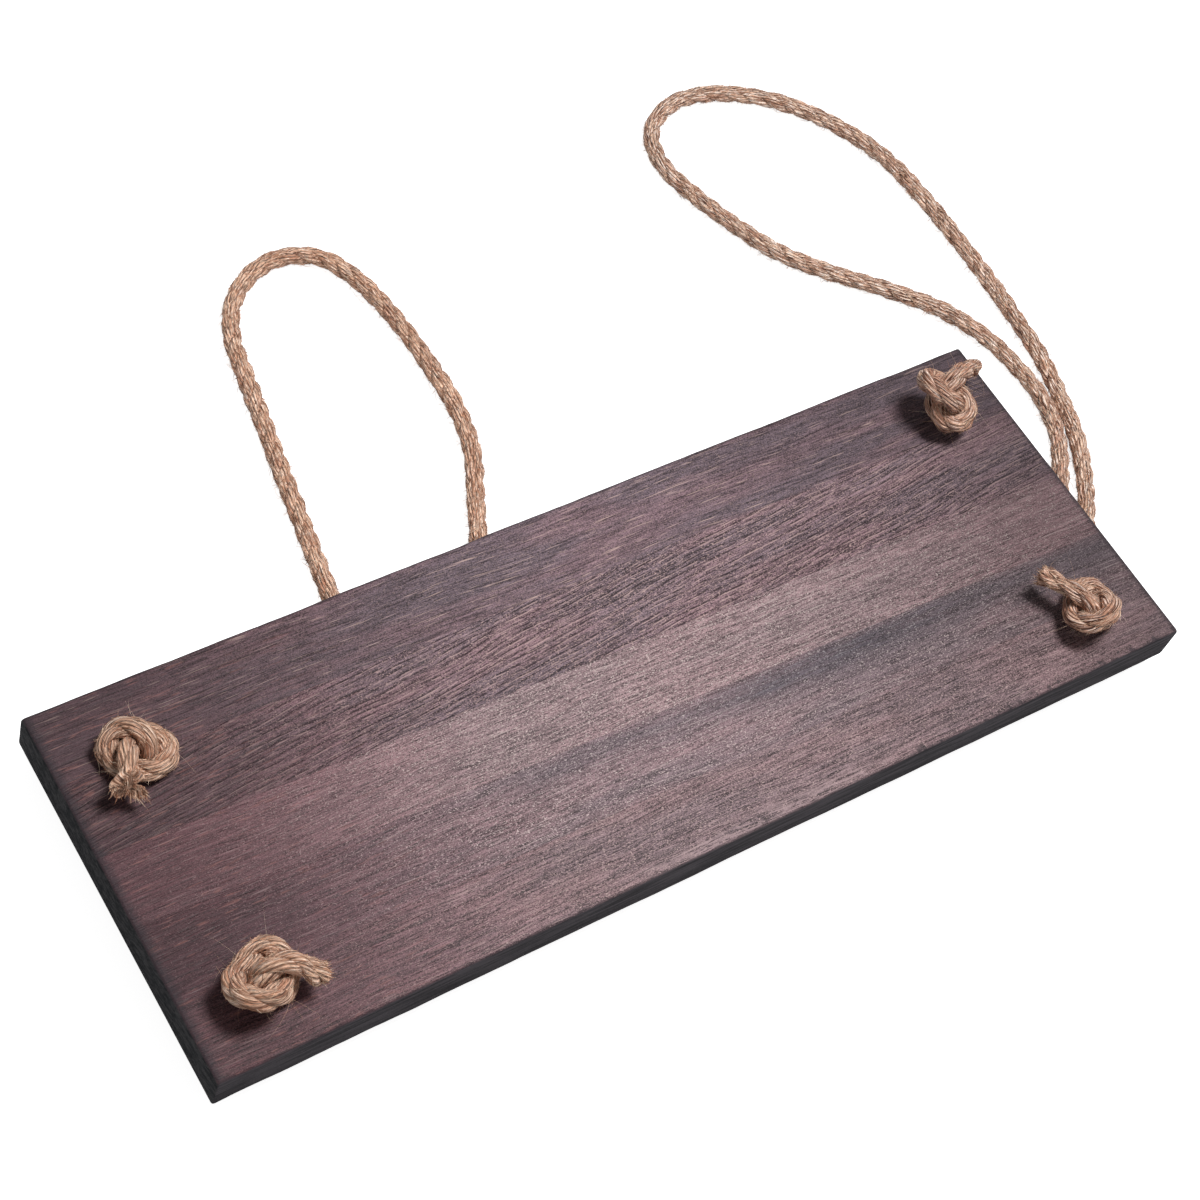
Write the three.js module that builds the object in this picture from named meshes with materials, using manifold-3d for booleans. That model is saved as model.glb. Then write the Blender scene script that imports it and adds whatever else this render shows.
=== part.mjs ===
// Hanging rope shelf: a solid wood board hung from two rope loops.
// Each end of a rope comes through a hole in a corner of the board and is stopped by an overhand knot.
// The shelf lies face down, as it is laid out flat: the knots are on top, the ropes run out underneath.
// Millimetres, +Z up, +X along the board, +Y towards its back edge. The origin is under the board's
// centre, on the surface that the shelf lies on.

import * as THREE from 'three';
import { mergeVertices } from 'three/addons/utils/BufferGeometryUtils.js';
import Module from 'manifold-3d';

// Board
const board_length = 432;
const board_width = 152;
const board_thickness = 18.5;
const arris_radius = 1.6;
const arris_steps = 2;
const glue_line = 0.1;

// Rope and its holes
const rope_diameter = 8;
const rope_sides = 10;
const hole_clearance = 0.5;
const hole_inset_end = 31.5;
const hole_inset_side = 30;
const hole_sides = 24;

// Seats and cuts
const seat_gap = 0.3;
const overrun = 1;

// Where the rope turns from the hole to the surface that it lies on
const turn_radius = 5;
const turn_steps = 6;
const reach_in_hole = 4;
const rise_length = 20;
const pressed_share = 0.1;

// Sizes that follow
const rope_radius = rope_diameter / 2;
const hole_radius = rope_radius + hole_clearance;
const board_bottom = rope_diameter + seat_gap;
const board_top = board_bottom + board_thickness;
const pressed_height = rope_radius - rope_diameter * pressed_share;
const run_top = board_bottom + reach_in_hole;

const wasm = await Module();
wasm.setup();

// Colours of the stained wood, from the back stave to the front one, and of the jute
const stave_colours = [0x574b54, 0x5c4d56, 0x7a6668, 0x6c5b60, 0x76636a];
const jute_colour = 0xb98d62;

// A closed geometry as a solid that can be cut or joined
function to_solid(geometry) {
  const bare = geometry.clone();
  bare.deleteAttribute('normal');
  bare.deleteAttribute('uv');
  const merged = mergeVertices(bare, seat_gap / 1000);
  return new wasm.Manifold(new wasm.Mesh({
    numProp: 3,
    vertProperties: new Float32Array(merged.getAttribute('position').array),
    triVerts: new Uint32Array(merged.getIndex().array),
  }));
}

// A cut or joined solid as a geometry again
function to_geometry(solid) {
  const mesh = solid.getMesh();
  const geometry = new THREE.BufferGeometry();
  geometry.setAttribute('position', new THREE.BufferAttribute(new Float32Array(mesh.vertProperties), 3));
  geometry.setIndex(new THREE.BufferAttribute(new Uint32Array(mesh.triVerts), 1));
  geometry.computeVertexNormals();
  return geometry;
}

const shelf = new THREE.Group();

function add_piece(name, geometry, material) {
  const piece = new THREE.Mesh(geometry, material);
  piece.name = name;
  shelf.add(piece);
}

// The four holes, named by the corner that they are in. They were drilled by eye, so each one's
// insets are its own shares of the common ones.
const holes = [
  { corner: 'back_left', side_x: -1, side_y: 1, end_share: 1.08, side_share: 1.12 },
  { corner: 'front_left', side_x: -1, side_y: -1, end_share: 1.07, side_share: 1.02 },
  { corner: 'back_right', side_x: 1, side_y: 1, end_share: 0.87, side_share: 1.02 },
  { corner: 'front_right', side_x: 1, side_y: -1, end_share: 0.99, side_share: 0.87 },
];
for (const hole of holes) {
  hole.x = hole.side_x * (board_length / 2 - hole_inset_end * hole.end_share);
  hole.y = hole.side_y * (board_width / 2 - hole_inset_side * hole.side_share);
}

// The glued board before it is parted into staves: a plate with softened arrises all round
function board_plate() {
  const half_x = board_length / 2 - arris_radius;
  const half_y = board_width / 2 - arris_radius;
  const outline = new THREE.Shape();
  outline.moveTo(-half_x, -half_y);
  outline.lineTo(half_x, -half_y);
  outline.lineTo(half_x, half_y);
  outline.lineTo(-half_x, half_y);
  outline.closePath();
  const plate = new THREE.ExtrudeGeometry(outline, {
    depth: board_thickness - arris_radius * 2,
    bevelThickness: arris_radius,
    bevelSize: arris_radius,
    bevelSegments: arris_steps,
  });
  plate.translate(0, 0, board_bottom + arris_radius);
  return plate;
}

// Shares of the board's width, from its front edge, at which the glued joints run out of the
// left end and of the right end
const joint_shares = [[1, 1], [0.80, 0.767], [0.60, 0.534], [0.41, 0.339], [0.20, 0.167], [0, 0]];

// The space between two joints, through the whole thickness; it runs past the board where it is free
function stave_space(back_shares, front_shares, is_back, is_front) {
  const at = (share) => (share - 0.5) * board_width;
  const back_edge = is_back ? overrun : -glue_line / 2;
  const front_edge = is_front ? -overrun : glue_line / 2;
  const half = board_length / 2;
  const space = new THREE.Shape();
  space.moveTo(-half, at(front_shares[0]) + front_edge);
  space.lineTo(half, at(front_shares[1]) + front_edge);
  space.lineTo(half, at(back_shares[1]) + back_edge);
  space.lineTo(-half, at(back_shares[0]) + back_edge);
  space.closePath();
  const prism = new THREE.ExtrudeGeometry(space, {
    depth: board_thickness + overrun * 2,
    bevelEnabled: false,
  });
  prism.translate(0, 0, board_bottom - overrun);
  return prism;
}

// A drill's width through the board
function hole_space(hole) {
  const depth = board_thickness + overrun * 2;
  const drill = new THREE.CylinderGeometry(hole_radius, hole_radius, depth, hole_sides);
  drill.rotateX(Math.PI / 2);
  drill.translate(hole.x, hole.y, board_bottom + board_thickness / 2);
  return drill;
}

// Five staves, glued edge to edge
const plate_solid = to_solid(board_plate());
const stave_names = ['back_stave', 'back_middle_stave', 'middle_stave', 'front_middle_stave', 'front_stave'];
stave_names.forEach((name, i) => {
  const is_back = i === 0;
  const is_front = i === stave_names.length - 1;
  const space = stave_space(joint_shares[i], joint_shares[i + 1], is_back, is_front);
  let stave = plate_solid.intersect(to_solid(space));
  for (const hole of holes) stave = stave.subtract(to_solid(hole_space(hole)));
  const wood = new THREE.MeshStandardMaterial({ color: stave_colours[i], roughness: 0.6, metalness: 0 });
  add_piece(name, to_geometry(stave), wood);
});

// A rope's centre line, with its steps shared out evenly among its points
class RopeLine extends THREE.CatmullRomCurve3 {
  getPointAt(t, target) { return this.getPoint(t, target); }
  getTangentAt(t, target) { return this.getTangent(t, target); }
  getSpacedPoints(divisions) { return this.getPoints(divisions); }
}

// A rope's body: a regular section carried along its centre line
function rope_body(points, steps_between, radius = rope_radius) {
  const section = new THREE.Shape();
  for (let i = 0; i < rope_sides; i++) {
    const angle = (i * 2 * Math.PI) / rope_sides;
    const corner = [radius * Math.cos(angle), radius * Math.sin(angle)];
    if (i === 0) section.moveTo(...corner);
    else section.lineTo(...corner);
  }
  section.closePath();
  return new THREE.ExtrudeGeometry(section, {
    steps: (points.length - 1) * steps_between,
    extrudePath: new RopeLine(points),
    bevelEnabled: false,
  });
}

const jute = () => new THREE.MeshStandardMaterial({ color: jute_colour, roughness: 0.95, metalness: 0 });

// Each rope's route over the surface, from its back hole to its front hole, as it was laid out.
// The first and last points of the loop lie under the board, just inside the edge that it passes.
const left_route = {
  back_run: [[-176, 33], [-160, 14], [-137, 4], [-113, 10], [-95, 31], [-86, 50], [-83, 62], [-82, 68]],
  loop: [[-82, 68], [-81, 74], [-78, 96], [-74, 119], [-70, 143], [-65, 170], [-61, 193], [-57, 212],
    [-48, 228], [-34, 238.5], [-19, 241.5], [-4, 236], [4.5, 223], [9, 207], [11.5, 188], [12.3, 168],
    [11.8, 147], [7.5, 126], [-3, 104.5], [-18, 76], [-21, 70]],
  front_run: [[-21, 70], [-24, 64], [-34, 42], [-50, 16], [-72, -10], [-98, -31], [-128, -46],
    [-154, -52], [-171, -51]],
};
const right_route = {
  back_run: [[175, 34], [167, 20], [163, 3], [166, -14], [176, -25], [189, -28], [200, -23.5], [204, -20]],
  loop: [[204, -20], [208, -16.5], [220, -4.5], [239, 19], [248, 34], [252.4, 50], [252.4, 67],
    [248.5, 88], [239, 107], [222, 126], [203, 144], [187, 163], [177, 184], [169.5, 205], [165.8, 223],
    [170.5, 241], [185, 252], [203, 254], [224, 246.5], [243, 232], [257, 213], [266.5, 191],
    [269.8, 166], [270.5, 140], [270, 115], [268.5, 90], [266, 68], [261, 47.5], [254.5, 27.5],
    [244, 8], [230, -11], [212, -33], [208, -37.5]],
  front_run: [[208, -37.5], [204, -42], [197, -47]],
};

// A stretch of rope held between the board and the surface: it stands up into the hole, turns over a
// tight bend, is pressed flat where the board's weight is on it and lies round again further out
function run_points(hole, route) {
  const start = new THREE.Vector2(hole.x, hole.y);
  const away = new THREE.Vector2(...route[0]).sub(start).normalize();
  const points = [new THREE.Vector3(hole.x, hole.y, run_top)];
  for (let i = 0; i <= turn_steps; i++) {
    const angle = ((Math.PI / 2) * i) / turn_steps;
    const out = turn_radius * (1 - Math.cos(angle));
    const height = pressed_height + turn_radius * (1 - Math.sin(angle));
    points.push(new THREE.Vector3(hole.x + away.x * out, hole.y + away.y * out, height));
  }
  let along = 0;
  let before = start;
  for (const [x, y] of route) {
    const here = new THREE.Vector2(x, y);
    along += here.distanceTo(before);
    before = here;
    const rise = THREE.MathUtils.smoothstep(along, turn_radius, rise_length);
    points.push(new THREE.Vector3(x, y, THREE.MathUtils.lerp(pressed_height, rope_radius, rise)));
  }
  return points;
}

// The block below the surface, which flattens what would reach under it
function below_surface() {
  const block = new THREE.BoxGeometry(board_length, board_width, rope_diameter);
  block.translate(0, 0, -rope_diameter / 2);
  return block;
}

const below = to_solid(below_surface());
function add_run(name, hole, route) {
  const body = to_solid(rope_body(run_points(hole, route), 1)).subtract(below);
  add_piece(name, to_geometry(body), jute());
}

const [back_left, front_left, back_right, front_right] = holes;
add_run('back_left_rope_run', back_left, left_route.back_run);
add_run('front_left_rope_run', front_left, [...left_route.front_run].reverse());
add_run('back_right_rope_run', back_right, right_route.back_run);
add_run('front_right_rope_run', front_right, [...right_route.front_run].reverse());

// The free loops lie on the surface; a seat gap parts each end from the run that it continues
function add_loop(name, route) {
  const points = route.map(([x, y]) => new THREE.Vector3(x, y, rope_radius));
  const last = points.length - 1;
  const pull_in = (end, next) => end.add(next.clone().sub(end).setLength(seat_gap));
  pull_in(points[0], points[1]);
  pull_in(points[last], points[last - 1]);
  add_piece(name, rope_body(points, 2), jute());
}

add_loop('left_rope_loop', left_route.loop);
add_loop('right_rope_loop', right_route.loop);

// A loose overhand knot in a rope that stands up out of its hole, in rope diameters from the
// hole's mouth. The tail is its last point.
const loose_knot = [
  [0, 0, -1], [0, 0, 0], [0, 0, 1.2], [1.6, 0.6, 3], [2.2, 3, 3.6], [0, 4.2, 3], [-2.2, 3, 2],
  [-2.2, 0, 1.2], [0, -1.8, 1.2], [2.2, -0.6, 1.6], [2.4, 1.8, 1.4], [0.8, 2.6, 3], [0, 2, 5], [0, 0, 6.5],
];

// How each knot was pulled: whether it was tied left-handed, the turn of the loose knot about the
// hole in degrees, where its tail ends, in knotted rope diameters from the hole's mouth, the share
// of the rope's diameter that it was squeezed to, and how far each round of pulling lets it sag
const knots = {
  back_left: { left: false, turn: 52, tail: [-2.1, -1.75, 1.75], squeeze_share: 0.88, sag_share: 0.004 },
  front_left: { left: true, turn: 121, tail: [1.75, -1.85, 1.35], squeeze_share: 0.97, sag_share: 0.002 },
  back_right: { left: true, turn: 42, tail: [2.5, 2, 1.5], squeeze_share: 0.9, sag_share: 0 },
  front_right: { left: true, turn: 138, tail: [-2.1, 2, 1.7], squeeze_share: 0.9, sag_share: 0.002 },
};

// Shares of a knotted rope's diameter that its tightening works with
const node_share = 0.25;
const tightest_bend_share = 0.58;
const turn_gap_share = 0.07;
const straight_share = 0.35;
const beside_hole_share = 0.3;
const lift_share = 0.54;
const section_step_share = 0.4;

// How the tightening runs: its rounds, the last of which pull gently, how far a round draws each
// place towards its neighbours, and how often and how hard it then pushes touching turns apart
const tightening_steps = 420;
const gentle_steps = 60;
const pull_share = 0.35;
const gentle_pull_share = 0.12;
const push_steps = 3;
const push_share = 0.4;
const shank_steps = 12;
const spline_steps = 199;

// Points at even steps along a line of points
function evenly(points, step) {
  const lengths = [0];
  for (let i = 1; i < points.length; i++) lengths.push(lengths[i - 1] + points[i].distanceTo(points[i - 1]));
  const total = lengths[lengths.length - 1];
  const count = Math.max(Math.round(total / step), 4);
  const even = [];
  let k = 0;
  for (let i = 0; i <= count; i++) {
    const at = (total * i) / count;
    while (k < lengths.length - 2 && lengths[k + 1] < at) k++;
    const share = (at - lengths[k]) / (lengths[k + 1] - lengths[k]);
    even.push(points[k].clone().lerp(points[k + 1], share));
  }
  return even;
}

// The least distance that two places of the rope keep, for the length of rope between them:
// a rope's width, or the chord of its tightest bend where they are close along it
function least_distance(between) {
  const half_turn = Math.min(between / (2 * tightest_bend_share), Math.PI / 2);
  return Math.min(1 + turn_gap_share, 2 * tightest_bend_share * Math.sin(half_turn));
}

// Pushes apart the places of the rope that are too near each other
function push_apart(points) {
  const push = points.map(() => new THREE.Vector3());
  const pushes = points.map(() => 0);
  for (let i = 0; i < points.length; i++) {
    for (let j = i + 2; j < points.length; j++) {
      const between = points[i].clone().sub(points[j]);
      const lack = least_distance((j - i) * node_share) - between.length();
      if (lack <= 0) continue;
      between.setLength(lack);
      push[i].add(between);
      push[j].sub(between);
      pushes[i] += 1;
      pushes[j] += 1;
    }
  }
  points.forEach((point, i) => {
    const shared = push_share / Math.sqrt(Math.max(pushes[i], 1));
    point.addScaledVector(push[i], shared);
  });
}

// Draws a loose knot tight, in rope diameters: the rope is shortened between its two held ends,
// sags a little, and keeps clear of itself and of the board
function tightened(loose, tail, sag) {
  const smooth = new THREE.CatmullRomCurve3(loose, false, 'catmullrom').getPoints(spline_steps);
  let points = evenly(smooth, node_share);
  for (let round = 0; round < tightening_steps; round++) {
    const draw = round < tightening_steps - gentle_steps ? pull_share : gentle_pull_share;
    const before = points;
    points = before.map((point, i) => {
      if (i === 0 || i === before.length - 1) return point.clone();
      const middle = before[i - 1].clone().add(before[i + 1]).multiplyScalar(0.5);
      const pulled = point.clone().lerp(middle, draw);
      pulled.z -= sag;
      return pulled;
    });
    for (let pass = 0; pass < push_steps; pass++) {
      push_apart(points);
      points.forEach((point, i) => {
        if (Math.hypot(point.x, point.y) > beside_hole_share) point.z = Math.max(point.z, lift_share);
        if (before[i].z < straight_share && i < shank_steps) point.set(0, 0, point.z);
      });
      points[0].copy(loose[0]);
      points[points.length - 1].copy(tail);
    }
    points = evenly(points, node_share);
  }
  return points;
}

// The least gap between two turns of a knot, in rope diameters
function least_gap(points) {
  let least = Infinity;
  for (let i = 0; i < points.length; i++) {
    for (let j = i + Math.ceil((Math.PI * tightest_bend_share) / node_share); j < points.length; j++) {
      least = Math.min(least, points[i].distanceTo(points[j]) - 1);
    }
  }
  return least;
}

// Each rope end: it stands in its hole, is tied in a knot on the board and ends in a cut tail
const upright = new THREE.Vector3(0, 0, 1);
for (const hole of holes) {
  const { left, turn, tail, squeeze_share, sag_share } = knots[hole.corner];
  const angle = THREE.MathUtils.degToRad(turn);
  const tied = loose_knot.map(([x, y, z]) => new THREE.Vector3(left ? -x : x, y, z));
  for (const point of tied) point.applyAxisAngle(upright, angle);
  const tight = tightened(tied, new THREE.Vector3(...tail), sag_share);
  const knotted_diameter = rope_diameter * squeeze_share;
  const gap = least_gap(tight) * knotted_diameter;
  console.log(`${hole.corner}_knot: least gap to itself ${gap.toFixed(2)} mm`);

  const mouth = new THREE.Vector3(hole.x, hole.y, board_top);
  const above = tight.filter((point) => point.z > section_step_share);
  const shown = evenly(above, section_step_share);
  for (const point of shown) point.multiplyScalar(knotted_diameter).add(mouth);
  const shank_heights = [run_top + seat_gap, board_top - rope_radius, board_top];
  const shank = shank_heights.map((z) => new THREE.Vector3(hole.x, hole.y, z));
  add_piece(`${hole.corner}_knot`, rope_body([...shank, ...shown], 1, knotted_diameter / 2), jute());
}

export default shelf;
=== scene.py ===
import math

import bpy
import numpy as np
from mathutils import Matrix


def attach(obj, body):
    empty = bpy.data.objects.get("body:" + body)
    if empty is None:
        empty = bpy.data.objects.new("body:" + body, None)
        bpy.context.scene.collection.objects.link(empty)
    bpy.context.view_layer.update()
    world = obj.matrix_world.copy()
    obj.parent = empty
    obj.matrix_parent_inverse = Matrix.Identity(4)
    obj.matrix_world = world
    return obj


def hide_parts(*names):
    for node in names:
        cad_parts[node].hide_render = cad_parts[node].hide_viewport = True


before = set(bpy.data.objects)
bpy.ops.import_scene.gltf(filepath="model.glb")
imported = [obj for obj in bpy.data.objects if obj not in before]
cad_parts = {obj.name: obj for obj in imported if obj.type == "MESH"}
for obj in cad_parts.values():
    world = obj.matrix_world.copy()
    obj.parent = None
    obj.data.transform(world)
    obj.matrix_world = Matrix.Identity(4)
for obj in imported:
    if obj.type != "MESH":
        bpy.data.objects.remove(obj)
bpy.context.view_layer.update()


# The board
# Five staves of light wood, glued edge to edge, planed, eased along the outer edges and stained a dark
# plum brown. Each stave took the stain differently, so each has its own grain and its own tint.
board_half_length = 0.216
board_half_width = 0.076
board_low = 0.0083
board_high = 0.0268
arris_radius = 0.0014
arris_wear = 0.0005
corner_share = 0.2
seam_chamfer = 0.00003
glue_gap = 0.00001
sharp_degrees = 40
station_step = 0.002
arris_steps = 6
face_steps = 8

# Where the glue lines lie at the left and the right end, as shares of the width from the front edge
seam_shares = [(1, 1), (0.80, 0.767), (0.60, 0.534), (0.41, 0.339), (0.20, 0.167), (0, 0)]

# The glue line that the dark band of the front middle stave keeps to: its place across the middle of
# the board, and how much it falls for each unit of length to the right
band_seam = -0.01915
band_seam_fall = -0.02477

# How far the grain wanders from straight, and how far apart the rings lie
grain_wave = 0.004
ring_pitch = 0.0020


def smooth_steps(low, high, value):
    """0 at low and past it, 1 at high and past it, and a smooth S between. Either may be the greater."""
    t = np.clip((value - low) / (high - low), 0, 1)
    return t * t * (3 - 2 * t)


def wander(seed, places, spacing):
    """A smooth random line between -1 and 1: cubic blends of random values that lie spacing apart."""
    draws = np.random.default_rng(seed).uniform(-1, 1, 4096)
    at = np.asarray(places) / spacing + 2048
    below = np.floor(at).astype(int)
    blend = smooth_steps(0, 1, at - below)
    return draws[below] * (1 - blend) + draws[below + 1] * blend


def stave_corner(centre_y, centre_z, radius, first_angle):
    """A quarter circle of a stave's section, from first_angle on, as arrays over stations and steps."""
    angles = first_angle + np.linspace(0, math.pi / 2, arris_steps)
    y = centre_y[:, None] + radius[:, None] * np.cos(angles)
    z = centre_z[:, None] + radius[:, None] * np.sin(angles)
    return y, z


def join_corners(corners):
    """The closed section through the corners, with face_steps shares of each flat side between them."""
    columns_y, columns_z = [], []
    shares = np.linspace(0, 1, face_steps + 1)[1:-1]
    for k, (y, z) in enumerate(corners):
        next_y, next_z = corners[(k + 1) % len(corners)]
        columns_y += [y, y[:, -1:] * (1 - shares) + next_y[:, :1] * shares]
        columns_z += [z, z[:, -1:] * (1 - shares) + next_z[:, :1] * shares]
    return np.hstack(columns_y), np.hstack(columns_z)


def face_mesh(name, points, faces, values):
    """A mesh of the points. Each array of faces has a row for a face and a column for a corner, and
    each of the values, by name, is a number for every point."""
    corners = np.concatenate([part.ravel() for part in faces])
    totals = np.concatenate([np.full(len(part), part.shape[1]) for part in faces])
    mesh = bpy.data.meshes.new(name)
    mesh.vertices.add(points.size // 3)
    mesh.vertices.foreach_set("co", points.ravel().astype(np.float32))
    mesh.loops.add(len(corners))
    mesh.loops.foreach_set("vertex_index", corners.astype(np.int32))
    mesh.polygons.add(len(totals))
    mesh.polygons.foreach_set("loop_start", (np.cumsum(totals) - totals).astype(np.int32))
    mesh.polygons.foreach_set("loop_total", totals.astype(np.int32))
    mesh.update(calc_edges=True)
    for value_name, numbers in values.items():
        layer = mesh.attributes.new(value_name, "FLOAT", "POINT")
        layer.data.foreach_set("value", numbers.ravel().astype(np.float32))
    return mesh


def closed_mesh(name, rings, values):
    """A closed skin over rings of points, an array of rings x columns x 3, flat at both ends.

    Ring i and column j make point i * columns + j. Every quad joins two neighbouring rings and two
    neighbouring columns, and the last column goes back to the first.
    """
    count, columns = rings.shape[:2]
    i, j = np.meshgrid(np.arange(count - 1), np.arange(columns), indexing="ij")
    here, beside = i * columns + j, i * columns + (j + 1) % columns
    quads = np.stack([here, beside, beside + columns, here + columns], -1).reshape(-1, 4)
    cap = np.arange(columns)[None]
    return face_mesh(name, rings, [quads, cap[:, ::-1], cap + (count - 1) * columns], values)


def shown(name, mesh, material):
    """The mesh as an object of the scene, in its material, smooth but for its sharp edges."""
    piece = bpy.data.objects.new(name, mesh)
    bpy.context.scene.collection.objects.link(piece)
    mesh.materials.append(material)
    mesh.shade_smooth()
    mesh.set_sharp_from_angle(angle=math.radians(sharp_degrees))
    return piece


def stave_mesh(name, back_shares, front_shares, is_back, is_front, seed):
    """One stave: a rectangle with eased or barely broken corners, carried along the board.

    The rounding at the board's ends draws top and bottom in by r(1 - cos a) while the station moves
    out by r sin a, and the outer sides by corner_share of that. The radius wanders along the edges.
    """
    end_angles = np.linspace(0, math.pi / 2, arris_steps)
    inner = board_half_length - arris_radius
    middle = np.linspace(-inner, inner, int(2 * inner / station_step))
    right_end = inner + arris_radius * np.sin(end_angles[1:])
    x = np.concatenate([-right_end[::-1], middle, right_end])
    end_inset = arris_radius * (1 - np.cos(end_angles[1:]))
    inset = np.concatenate([end_inset[::-1], np.zeros(len(middle)), end_inset])
    share = (x + board_half_length) / (2 * board_half_length)
    back = (back_shares[0] * (1 - share) + back_shares[1] * share - 0.5) * 2 * board_half_width
    front = (front_shares[0] * (1 - share) + front_shares[1] * share - 0.5) * 2 * board_half_width
    back = back - corner_share * inset if is_back else back - glue_gap
    front = front + corner_share * inset if is_front else front + glue_gap
    wear = wander(seed, x, 0.017) + 0.3 * wander(seed + 1, x, 0.004)
    worn = arris_radius + arris_wear * wear
    back_radius = worn if is_back else np.full(len(x), seam_chamfer)
    front_radius = worn[::-1] if is_front else np.full(len(x), seam_chamfer)
    low, high = board_low + inset, board_high - inset
    section_y, section_z = join_corners([
        stave_corner(back - back_radius, high - back_radius, back_radius, 0),
        stave_corner(front + front_radius, high - front_radius, front_radius, math.pi / 2),
        stave_corner(front + front_radius, low + front_radius, front_radius, math.pi),
        stave_corner(back - back_radius, low + back_radius, back_radius, math.pi * 1.5),
    ])
    rings = np.stack([np.broadcast_to(x[:, None], section_y.shape), section_y, section_z], -1)
    return closed_mesh(name, rings, {})


class Shade:
    """An output of a material's nodes, on which sums, differences and products add Math nodes."""

    def __init__(self, tree, socket=None):
        self.tree = tree
        self.socket = socket

    def node(self, kind, settings, inputs, output=0):
        """Adds a node: its settings first, then its sockets' values or links. Returns one output."""
        made = self.tree.nodes.new(kind)
        for name, value in settings.items():
            if name == "stops":
                ramp = made.color_ramp
                while len(ramp.elements) < len(value):
                    ramp.elements.new(0.5)
                for element, (position, colour) in zip(ramp.elements, value):
                    element.position = position
                    element.color = colour
            else:
                setattr(made, name, value)
        for name, value in inputs.items():
            if isinstance(value, Shade):
                self.tree.links.new(value.socket, made.inputs[name])
            else:
                made.inputs[name].default_value = value
        return Shade(self.tree, made.outputs[output] if made.outputs else None)

    def maths(self, operation, *values):
        return self.node("ShaderNodeMath", {"operation": operation}, dict(enumerate(values)))

    def __add__(self, other):
        return self.maths("ADD", self, other)

    def __radd__(self, other):
        return self.maths("ADD", other, self)

    def __sub__(self, other):
        return self.maths("SUBTRACT", self, other)

    def __rsub__(self, other):
        return self.maths("SUBTRACT", other, self)

    def __mul__(self, other):
        return self.maths("MULTIPLY", self, other)

    def __rmul__(self, other):
        return self.maths("MULTIPLY", other, self)

    def __abs__(self):
        return self.maths("ABSOLUTE", self)

    def rise(self, low, high):
        """0 where this is at low, 1 where it is at high, and a smooth S between."""
        return self.node(
            "ShaderNodeMapRange",
            {"interpolation_type": "SMOOTHSTEP"},
            {"Value": self, "From Min": low, "From Max": high},
        )

    def mix(self, low, high, blend="MIX"):
        """The colour low where this is 0 and high where it is 1."""
        settings = {"data_type": "RGBA", "blend_type": blend}
        return self.node("ShaderNodeMix", settings, {0: self, 6: low, 7: high}, 2)

    def parts(self):
        """The three numbers of a vector."""
        return [self.node("ShaderNodeSeparateXYZ", {}, {0: self}, k) for k in range(3)]

    def scaled(self, factor):
        """This colour, each of its numbers times the factor."""
        return self.node("ShaderNodeVectorMath", {"operation": "SCALE"}, {0: self, "Scale": factor})

    def noise(self, x, y, z, detail=2.0, roughness=0.5):
        """Soft random values about 0.5 in blotches one unit of x, y and z across."""
        place = self.node("ShaderNodeCombineXYZ", {}, {0: x, 1: y, 2: z})
        inputs = {"Vector": place, "Scale": 1.0, "Detail": detail, "Roughness": roughness}
        return self.node("ShaderNodeTexNoise", {}, inputs)

    def raised(self, strength, depth):
        """This height as a bump of the surface, so many metres deep where it goes from 0 to 1."""
        inputs = {"Strength": strength, "Distance": depth, "Height": self}
        return self.node("ShaderNodeBump", {}, inputs)

    def surface(self, sockets):
        """Ends the material's nodes in the plain shader with these sockets."""
        shader = self.node("ShaderNodeBsdfPrincipled", {}, sockets)
        self.node("ShaderNodeOutputMaterial", {}, {"Surface": shader})


def paint(red, green, blue):
    """A colour as it is seen, from 0 to 255, as the light that the shader works with."""
    seen = np.array([red, green, blue]) / 255
    light = np.where(seen <= 0.04045, seen / 12.92, ((seen + 0.055) / 1.055) ** 2.4)
    return (*light.tolist(), 1)


def new_material(name):
    """A material with no nodes yet, and the shade that adds them."""
    material = bpy.data.materials.new(name)
    material.use_nodes = True
    material.node_tree.nodes.clear()
    return material, Shade(material.node_tree)


warm_stain = paint(138, 97, 103)
red_wood = paint(176, 122, 114)
worn_wood = paint(184, 158, 160)
rim_stain = paint(56, 50, 55)
side_stains = (paint(50, 47, 51), paint(84, 79, 84))
end_stains = (paint(38, 40, 43), paint(72, 71, 73))
# The colour of the painted shade at the foot of the long sides
painted_foot_shade = paint(30, 28, 31)
redder = (1.0, 0.8, 0.85, 1)
band_darker = (0.53, 0.61, 0.66, 1)


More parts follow.
